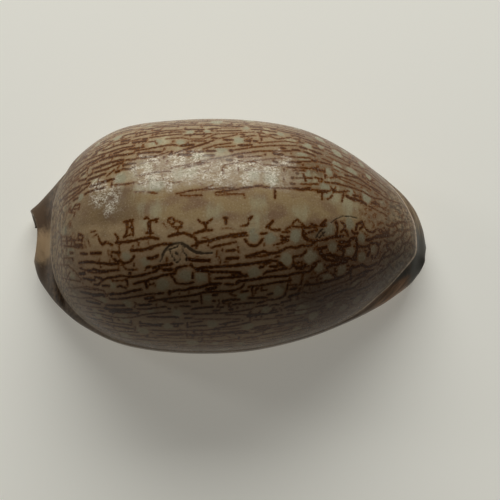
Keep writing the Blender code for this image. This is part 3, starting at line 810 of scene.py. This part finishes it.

# Where the enamel is scuffed dull and white, the white partly painted glints of the window, and where
# it is cloudy: x, y and radius in pixels
SCUFF_AND_GLINT_PATCHES = [
    (98, 187, 11), (104, 196, 13), (110, 204, 10), (92, 197, 7), (114, 190, 8), (134, 168, 7),
    (148, 164, 11), (150, 178, 12), (166, 182, 9), (178, 160, 11), (196, 158, 10), (206, 170, 8),
    (224, 168, 9), (240, 166, 9), (256, 166, 9), (271, 172, 10), (274, 181, 7), (190, 174, 9),
    (219, 180, 8), (284, 158, 7), (246, 178, 7),
]
CLOUD_PATCHES = [
    (155, 210, 8), (150, 221, 5), (140, 206, 6), (258, 204, 7), (258, 218, 7), (254, 228, 5),
    (333, 194, 11), (349, 204, 11), (300, 212, 8), (215, 214, 8), (75, 206, 6), (95, 180, 8),
    (121, 179, 8), (161, 142, 8), (330, 180, 7), (316, 178, 5), (303, 176, 5), (341, 178, 5),
    (116, 164, 6), (206, 154, 7), (62, 232, 5), (180, 147, 5), (216, 152, 5), (224, 155, 5),
    (239, 141, 6), (130, 177, 5), (155, 186, 7), (180, 173, 5), (193, 172, 5), (254, 176, 6),
    (272, 178, 7), (146, 164, 5), (140, 190, 5), (103, 150, 6), (85, 172, 5), (190, 132, 5),
    (208, 130, 5), (150, 128, 5), (262, 131, 5), (290, 140, 5), (310, 150, 5), (72, 190, 5),
]
scuffs_and_glints, clouds = [], []
for patches, specks in ((SCUFF_AND_GLINT_PATCHES, scuffs_and_glints), (CLOUD_PATCHES, clouds)):
    for x, y, radius in patches:
        place = seen_at(x, y)
        if place:
            specks.append((place, radius * PIXEL))


def depth_in(specks, place):
    """How deep in the nearest specks the place lies, in mm; below 0 outside them."""
    tree, radii = specks
    return max(radii[i] - apart / MM for _, i, apart in tree.find_n(place, 3))


# What the enamel needs to know at each point of the mesh
OUTSIDE_ALL = -3.0
MARGIN_END = DOME_STEPS + MARGIN_STEPS
BELT_STARTS = (0, DOME_STEPS, MARGIN_END, MARGIN_END + BASE_STEPS, HALF - NOSE_STEPS, HALF)
skin = mesh.verts.layers.float_vector.new("skin")
belt = mesh.verts.layers.float.new("belt")
tooth = mesh.verts.layers.float.new("tooth")
round_w = mesh.verts.layers.float.new("round")
flange = mesh.verts.layers.float.new("flange")
ledge = mesh.verts.layers.float.new("ledge")
rise = mesh.verts.layers.float.new("rise")
marks = (("line", ink), ("gap", gaps), ("scar", scar_ink), ("scuff_glint", scuffs_and_glints), ("cloud", clouds))
marked = [(mesh.verts.layers.float.new(name), tree_of(specks)) for name, specks in marks]
crests = [tooth_crest(s) for s in row_s]
mesh.verts.ensure_lookup_table()
for vert, (column, row) in zip(mesh.verts, grid_places):
    outside = column <= 2 * HALF or column == 4 * HALF
    column %= 4 * HALF
    k = abs(column - HALF) if outside else HALF
    half = halves[row][0 if column < HALF else 1]
    # The belt counts the stretches down one half: 1 at the margin, 2 at the base's edge, 3
    # at the lip, 4 at its nose, 5 at the slit and 6 in the cavity.
    vert[belt] = float(numpy.interp(k, BELT_STARTS, range(6))) if outside else 6.0
    vert[tooth] = crests[row]
    vert[skin] = (u_of_row[row], girth[row, column] if outside else 0, 0)
    vert[round_w] = girth[row, column] * spread[row] if outside else 0
    vert[flange] = half.flange
    # The ledge is 1 on the flange, below the crease, and 0 on the dome
    up = vert.co.z / MM - half.margin_z if k <= DOME_STEPS else 0
    vert[rise] = up
    vert[ledge] = smooth((half.crease - up) / 1.6 + 0.5)
    for layer, specks in marked:
        shows = outside and k <= MARGIN_END
        vert[layer] = max(depth_in(specks, vert.co), OUTSIDE_ALL) if shows else OUTSIDE_ALL

bmesh.ops.remove_doubles(mesh, verts=mesh.verts, dist=0.001 * MM)
bmesh.ops.recalc_face_normals(mesh, faces=mesh.faces)
shell_mesh = bpy.data.meshes.new("cowrie_shell")
mesh.to_mesh(shell_mesh)
mesh.free()
shell_mesh.shade_smooth()
shell = bpy.data.objects.new("cowrie_shell", shell_mesh)
bpy.context.scene.collection.objects.link(shell)

# Its enamel. Colours are sRGB, 0 to 255.


def colour(red, green, blue):
    """A colour as light, from its sRGB values."""
    parts = (channel / 255 for channel in (red, green, blue))
    return (*(c / 12.92 if c <= 0.04045 else ((c + 0.055) / 1.055) ** 2.4 for c in parts), 1.0)


ground_sand = colour(170, 145, 108)
ground_upper = colour(153, 131, 98)
ground_brown = colour(161, 132, 98)
ground_deep = colour(84, 60, 40)
gap_grey = colour(150, 145, 118)
gap_deep = colour(158, 146, 116)
band_tan = colour(162, 138, 98)
band_rose = colour(136, 108, 82)
cloud_pale = colour(176, 168, 134)
cloud_sheen_pale = colour(198, 192, 166)
line_rust = colour(116, 70, 26)
line_core = colour(76, 42, 12)
line_deep = colour(58, 28, 4)
scar_dark = colour(34, 24, 15)
fleck_and_glint_white = colour(238, 230, 208)
worn_sheen_rose = colour(184, 167, 143)
smoke_brown = colour(54, 38, 26)
bloom_dark = colour(80, 62, 47)
bloom_and_bounce_grey = colour(150, 128, 106)
flange_grey = colour(84, 66, 49)
flange_dark_and_crease_shade = colour(80, 77, 70)
flange_brown = colour(164, 121, 87)
saddle_brown = colour(112, 88, 64)
notch_tan = colour(178, 150, 114)
crease_highlight_pale = colour(208, 186, 162)
end_pale = colour(162, 140, 106)
base_cream = colour(206, 190, 168)
base_dusk = colour(176, 154, 130)
tooth_rust = colour(128, 74, 44)
cavity_pale = colour(196, 184, 176)

enamel = bpy.data.materials.new("enamel")
enamel.use_nodes = True
nodes, links = enamel.node_tree.nodes, enamel.node_tree.links
surface = nodes["Principled BSDF"]


def feed(socket, value):
    """Sets a socket to a value, or links it to another node's output."""
    if isinstance(value, bpy.types.NodeSocket):
        links.new(value, socket)
    else:
        socket.default_value = value


def stored(name, output="Fac"):
    """What the mesh's points hold under this name."""
    found = nodes.new("ShaderNodeAttribute")
    found.attribute_name = name
    return found.outputs[output]


def parts_of(place):
    made = nodes.new("ShaderNodeSeparateXYZ")
    feed(made.inputs[0], place)
    return made.outputs


def maths(kind, first, second=0.0, third=0.0):
    """A math node's result: kind is its operation."""
    made = nodes.new("ShaderNodeMath")
    made.operation = kind
    for socket, value in zip(made.inputs, (first, second, third)):
        feed(socket, value)
    return made.outputs[0]


def product(first, *others):
    """The values multiplied together."""
    for other in others:
        first = maths("MULTIPLY", first, other)
    return first


def larger(first, second):
    return maths("MAXIMUM", first, second)


def strayed(value, reach, wandering):
    """The value, moved up and down by noise, by half the reach at most."""
    return maths("MULTIPLY_ADD", wandering, reach, maths("ADD", value, -reach / 2))


def scaled(place, x, y, z=0.0):
    """A place with each of its parts multiplied."""
    made = nodes.new("ShaderNodeVectorMath")
    made.operation = "MULTIPLY"
    feed(made.inputs[0], place)
    made.inputs[1].default_value = (x, y, z)
    return made.outputs[0]


def noise_over(place, detail, roughness):
    """Noise from 0 to 1 with cells one unit of the place wide."""
    made = nodes.new("ShaderNodeTexNoise")
    feed(made.inputs["Vector"], place)
    made.inputs["Scale"].default_value = 1.0
    made.inputs["Detail"].default_value = detail
    made.inputs["Roughness"].default_value = roughness
    return made.outputs["Fac"]


def mottle(u, v, detail=3.0, roughness=0.5):
    """Noise with u and v cells to the mm along and across the shell."""
    return noise_over(scaled(skin_place, u, v), detail, roughness)


def step(value, start, end, low=0.0, high=1.0):
    """A soft step from low to high as the value goes from start to end."""
    made = nodes.new("ShaderNodeMapRange")
    made.interpolation_type = "SMOOTHSTEP"
    names = ("Value", "From Min", "From Max", "To Min", "To Max")
    for name, setting in zip(names, (value, start, end, low, high)):
        feed(made.inputs[name], setting)
    return made.outputs["Result"]


def tint(share, first, second):
    """The first colour, turning into the second by the share."""
    made = nodes.new("ShaderNodeMix")
    made.data_type = "RGBA"
    feed(made.inputs[0], share)
    feed(made.inputs[6], first)
    feed(made.inputs[7], second)
    return made.outputs[2]


skin_place = stored("skin", "Vector")
along_u = parts_of(skin_place)[0]
round_at = stored("round")
belt_at = stored("belt")
tooth_at = stored("tooth")
flange_at = stored("flange")
ledge_at = stored("ledge")
rise_at = stored("rise")
object_place = nodes.new("ShaderNodeTexCoord").outputs["Object"]
place_x, place_y, place_z = (product(part, 1 / MM) for part in parts_of(object_place))

# Ground: sandy by the band, browner down both sides, and deeper brown towards the ends.
wander = strayed(round_at, 6.0, mottle(0.14, 0.3, 4.0, 0.6))
below_band = step(wander, 3.0, -4.0)
end_shade = larger(step(along_u, -20, -27, 0.0, 0.35), step(along_u, 5, 15, 0.0, 0.5))
below_shade = product(below_band, step(along_u, 6, 16, 0.0, 0.25))
ground = tint(step(wander, -2.0, -8.5), ground_sand, ground_brown)
ground = tint(step(wander, 4.5, 8.5), ground, ground_upper)
ground = tint(maths("ADD", end_shade, below_shade), ground, ground_deep)
ground = tint(step(mottle(0.5, 0.9, 4.0, 0.6), 0.45, 0.8, 0.0, 0.45), ground, ground_deep)

# The mantle band, plain and cloudy, along the top, with a dusky hind end.
band_offset = strayed(round_at, 1.6, mottle(0.25, 0.0, 2.0))
in_band = product(step(band_offset, -2.6, -0.5), step(band_offset, 5.2, 3.6))
in_band = product(in_band, step(maths("ABSOLUTE", along_u), 31, 17))
band = tint(step(mottle(0.2, 0.35, 3.0), 0.42, 0.68), band_tan, band_rose)
ground = tint(product(in_band, 0.9), ground, band)
ground = tint(product(in_band, step(along_u, -10, -17), 0.55), ground, ground_deep)

# Pale clouds, and the gaps, a little paler and greyer than the ground about them.
cloudy = strayed(stored("cloud"), 4.0, mottle(0.9, 0.3))
ground = tint(step(cloudy, -0.9, 1.2, 0.0, 0.65), ground, cloud_pale)
from_middle = maths("ABSOLUTE", maths("ADD", along_u, 1.0))
gap_edge = maths("MULTIPLY_ADD", mottle(0.9, 0.9), 1.5, maths("ADD", stored("gap"), -0.3))
gap_edge = maths("ADD", gap_edge, step(from_middle, 25, 33, 0.0, -1.2))
gap_paint = tint(step(wander, -2.0, -9.0), gap_grey, gap_deep)
gap_paint = tint(product(below_band, step(along_u, 9, 19, 0.0, 0.55)), gap_paint, ground_deep)
ground = tint(step(gap_edge, 0.15, 0.8, 0.0, 0.8), ground, gap_paint)

# Lines: a faint halo, then rust at the edge and darker at the core, with beaded edges.
bead = maths("MULTIPLY_ADD", mottle(2.6, 3.4, 2.0, 0.6), 0.34, -0.17)
line_depth = maths("ADD", stored("line"), bead)
low_front = product(below_band, step(along_u, 6, 16))
core = tint(larger(step(wander, -4.0, -10.0), low_front), line_core, line_deep)
edge = tint(product(low_front, 0.5), line_rust, line_core)
lined = tint(step(line_depth, -0.32, 0.0, 0.0, 0.35), ground, edge)
lined = tint(step(line_depth, -0.06, 0.04), lined, edge)
lined = tint(step(line_depth, 0.0, 0.13), lined, core)

# Fine specks all over, dark and pale.
grain = mottle(3.4, 3.4, 4.0, 0.8)
lined = tint(step(grain, 0.5, 0.3, 0.0, 0.35), lined, line_deep)
lined = tint(step(grain, 0.55, 0.7, 0.0, 0.3), lined, fleck_and_glint_white)

# The worn patch above the band: a rosy dulling, dark pits and white flakes. Its rosy and paler
# tints are partly a painted highlight, the window's sheen on the worn enamel.
worn_sheen_way = strayed(round_at, 5.0, mottle(0.25, 0.4, 4.0, 0.6))
worn_and_sheen = product(step(worn_sheen_way, 2.6, 4.6), step(worn_sheen_way, 11.0, 7.0))
worn_and_sheen = product(worn_and_sheen, product(step(along_u, -17, -12), step(along_u, 13, 8)))
line_shows = step(line_depth, -0.02, 0.1, 1.0, 0.5)
rosy_sheen = step(mottle(0.35, 0.8, 5.0, 0.7), 0.4, 0.6, 0.1, 0.5)
lined = tint(product(worn_and_sheen, line_shows, rosy_sheen), lined, worn_sheen_rose)
lined = tint(product(worn_and_sheen, step(cloudy, -0.9, 0.8, 0.0, 0.6)), lined, cloud_sheen_pale)
pits = step(mottle(2.2, 3.6, 5.0, 0.8), 0.48, 0.36, 0.0, 0.65)
lined = tint(product(worn_and_sheen, pits), lined, line_core)
# The white flakes in the scuffs are partly wear and partly painted glints of the window.
scuffed_and_glinting = step(strayed(stored("scuff_glint"), 5.0, mottle(0.5, 0.7, 4.0)), -0.8, 1.1)
flakes_and_glints = product(step(mottle(0.8, 1.2, 6.0, 0.8), 0.42, 0.55), line_shows)
flakes_and_glints = product(flakes_and_glints, step(mottle(3.0, 4.0, 5.0, 0.8), 0.43, 0.56))
flaked_and_glinting = maths("MULTIPLY_ADD", scuffed_and_glinting, 0.85, product(worn_and_sheen, 0.25))
lined = tint(product(flakes_and_glints, flaked_and_glinting), lined, fleck_and_glint_white)

# The wound's dark wrinkles.
scar_depth = maths("MULTIPLY_ADD", bead, 0.6, stored("scar"))
lined = tint(step(scar_depth, -0.08, 0.06, 0.0, 0.85), lined, scar_dark)

# A smoky veil down the outer lip's side, and a streaky grey bloom at the rim, greyer and paler
# the lower it lies: partly painted light thrown up from the floor.
rim_place = scaled(object_place, 0.2 / MM, 0.2 / MM, 1.3 / MM)
rim_streak = step(noise_over(rim_place, 5.0, 0.7), 0.36, 0.66)
veiled = tint(step(wander, -9.0, -17.0, 0.0, 0.34), lined, smoke_brown)
bloom_and_bounce_height = strayed(place_z, 7.0, mottle(0.16, 0.3, 4.0, 0.6))
bloom_and_bounce_paint = tint(product(rim_streak, 0.85), bloom_dark, bloom_and_bounce_grey)
line_keep = step(line_depth, -0.06, 0.06, 1.0, 0.2)
low_keep = larger(line_keep, step(bloom_and_bounce_height, 13.0, 8.0))
# Stronger the lower it lies: partly painted light from the floor.
veiled = tint(product(step(bloom_and_bounce_height, 16.0, 7.0), 0.8, low_keep), veiled, bloom_and_bounce_paint)

# Grey-brown mottling over both ends, darker and browner below the band at the front.
far_end = larger(step(along_u, -23, -31), step(along_u, 25, 33))
mottled = product(
    step(mottle(1.0, 1.1, 4.0, 0.65), 0.42, 0.56),
    step(rim_streak, 0.0, 1.0, 0.6, 1.0),
)
end_paint = tint(mottled, smoke_brown, end_pale)
veiled = tint(product(far_end, 0.6, line_keep), veiled, end_paint)
front_dusk = product(step(along_u, 26, 31), step(wander, 3.0, 0.0))
veiled = tint(product(front_dusk, 0.4, line_keep), veiled, smoke_brown)

# The flange: dark grey outermost, brown along the front rim with painted shade just under the crease,
# and tan in the hind notch.
at_hind = step(place_x, -18, -24)
from_end = strayed(maths("ABSOLUTE", place_x), 2.4, mottle(0.5, 0.5, 4.0))
saddle = tint(step(mottle(0.9, 0.9, 5.0, 0.7), 0.38, 0.64), smoke_brown, saddle_brown)
tip_paint = tint(at_hind, flange_dark_and_crease_shade, flange_grey)
flange_paint = tint(step(from_end, 28.0, 30.4), saddle, tip_paint)
sideways = strayed(place_y, 5.0, mottle(0.5, 0.5, 5.0, 0.7))
front_top = product(step(sideways, -0.5, 4.0), step(place_x, 18, 22))
flange_paint = tint(front_top, flange_paint, tint(rim_streak, ground_deep, end_pale))
rusty = product(step(place_x, 8.0, 14.0), step(place_x, 30.4, 28.4))
rusty = product(step(sideways, -3.5, -7.0), rusty)
rusty_paint = tint(rim_streak, saddle_brown, flange_brown)
# Darker up against the crease: painted shade in its groove.
rusty_paint = tint(step(rise_at, 2.3, 3.0), rusty_paint, flange_dark_and_crease_shade)
flange_paint = tint(rusty, flange_paint, rusty_paint)
from_notch = maths("ABSOLUTE", maths("ADD", sideways, 1.0))
in_notch = product(step(from_notch, 3.8, 0.8), at_hind, 0.9)
flange_paint = tint(in_notch, flange_paint, notch_tan)

# The crease between dome and flange has a pale edge: partly a raised growth line, partly a painted
# highlight along its crest.
pale_edge_highlight = product(step(ledge_at, 0.0, 0.12), step(ledge_at, 0.66, 0.46))
pale_edge_highlight = product(pale_edge_highlight, step(mottle(0.6, 1.2, 5.0, 0.7), 0.32, 0.58, 0.15, 0.9))
pale_edge_highlight = product(pale_edge_highlight, step(place_x, -18, -10, 0.4, 1.0))
ended = tint(product(pale_edge_highlight, step(flange_at, 0.2, 0.8)), veiled, crease_highlight_pale)
on_flange = product(step(ledge_at, 0.42, 0.66), step(flange_at, 0.3, 1.5))
ended = tint(on_flange, ended, flange_paint)

# Below the margin: a cream base, rusty teeth and a pale cavity.
near_base = larger(step(place_z, 4.2, 2.6), step(belt_at, 2.4, 3.0))
off_lip = larger(step(belt_at, 3.9, 2.9), step(belt_at, 5.2, 5.8))
dark_tips = product(step(maths("ABSOLUTE", place_x), 28.0, 31.5), off_lip)
near_base = product(near_base, maths("SUBTRACT", 1.0, dark_tips))
dusky = step(mottle(0.2, 0.12, 5.0, 0.6), 0.42, 0.66, 0.0, 0.7)
base_paint = tint(dusky, base_cream, base_dusk)
based = tint(product(step(belt_at, 1.3, 2.1), near_base), ended, base_paint)
tooth_end = strayed(belt_at, -1.0, mottle(0.6, 0.05, 2.0))
toothed = product(step(tooth_end, 3.0, 3.5), step(tooth_at, 0.3, 0.9))
toothed = product(toothed, step(belt_at, 5.4, 4.9), 0.85)
based = tint(toothed, based, tooth_rust)
between_ends = product(step(along_u, -42.0, -39.0), step(along_u, 40.0, 37.0))
based = tint(product(step(belt_at, 5.2, 5.9), between_ends), based, cavity_pale)
feed(surface.inputs["Base Color"], based)

# Gloss: polished, duller at both ends and in the scuffs, which are pitted too.
gloss = step(mottle(0.5, 0.5, 5.0, 0.7), 0.2, 0.8, 0.22, 0.36)
gloss = maths("MULTIPLY_ADD", far_end, 0.16, gloss)
feed(surface.inputs["Roughness"], maths("MULTIPLY_ADD", scuffed_and_glinting, 0.22, gloss))
surface.inputs["IOR"].default_value = 1.45
surface.inputs["Specular IOR Level"].default_value = 0.15
pitted = product(scuffed_and_glinting, mottle(4.0, 4.0, 5.0, 0.8))
relief = maths("MULTIPLY_ADD", pitted, 1.2, mottle(1.2, 1.2, 6.0, 0.7))
relief = maths("MULTIPLY_ADD", step(scar_depth, -0.2, 0.1), -1.2, relief)
bump = nodes.new("ShaderNodeBump")
bump.inputs["Strength"].default_value = 0.4
bump.inputs["Distance"].default_value = 0.06 * MM
feed(bump.inputs["Height"], relief)
feed(surface.inputs["Normal"], bump.outputs["Normal"])
shell_mesh.materials.append(enamel)

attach(shell, "root")
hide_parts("shell")

# The floor: wide, plain and pale, and lit a little from within so that it stays even.
FLOOR_REACH = 1.5
floor_mesh = bmesh.new()
bmesh.ops.create_grid(floor_mesh, x_segments=1, y_segments=1, size=FLOOR_REACH)
floor_data = bpy.data.meshes.new("floor")
floor_mesh.to_mesh(floor_data)
floor_mesh.free()
floor = bpy.data.objects.new("floor", floor_data)
bpy.context.scene.collection.objects.link(floor)
floor_paint = bpy.data.materials.new("floor_paint")
floor_paint.use_nodes = True
floor_surface = floor_paint.node_tree.nodes["Principled BSDF"]
floor_surface.inputs["Base Color"].default_value = colour(226, 226, 216)
floor_surface.inputs["Roughness"].default_value = 0.9
floor_surface.inputs["Emission Color"].default_value = colour(226, 222, 210)
floor_surface.inputs["Emission Strength"].default_value = 0.3
floor_data.materials.append(floor_paint)
floor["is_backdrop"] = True

# Light: one broad soft window, low beyond the columellar side, a small lamp beyond the hind
# end, and weak light all round.


def soft_light(name, place, aim, width, height, power):
    data = bpy.data.lights.new(name, "AREA")
    data.shape = "RECTANGLE"
    data.size, data.size_y = width, height
    data.energy = power
    lamp = bpy.data.objects.new(name, data)
    lamp.location = place
    lamp.rotation_euler = (Vector(aim) - Vector(place)).to_track_quat("-Z", "Y").to_euler()
    bpy.context.scene.collection.objects.link(lamp)


soft_light("window", (0.0, 0.55, 0.38), (0, 0, 0.01), 0.7, 0.45, 4.4)
soft_light("far_corner", (-0.6, 0.24, 0.34), (0, 0, 0.01), 0.12, 0.12, 0.35)
world = bpy.data.worlds.new("room")
world.use_nodes = True
world.node_tree.nodes["Background"].inputs["Color"].default_value = (1, 1, 1, 1)
world.node_tree.nodes["Background"].inputs["Strength"].default_value = 0.03
bpy.context.scene.world = world
bpy.context.scene.view_settings.view_transform = "Standard"

# Camera: nearly straight above, tipped ten degrees towards the outer lip's side.
view_data = bpy.data.cameras.new("camera")
view_data.angle = VIEW_ANGLE
view_data.clip_start = 0.01
camera = bpy.data.objects.new("camera", view_data)
camera.location = eye_place
camera.rotation_euler = (math.pi / 2 - ELEVATION, 0, 0)
bpy.context.scene.collection.objects.link(camera)
bpy.context.scene.camera = camera
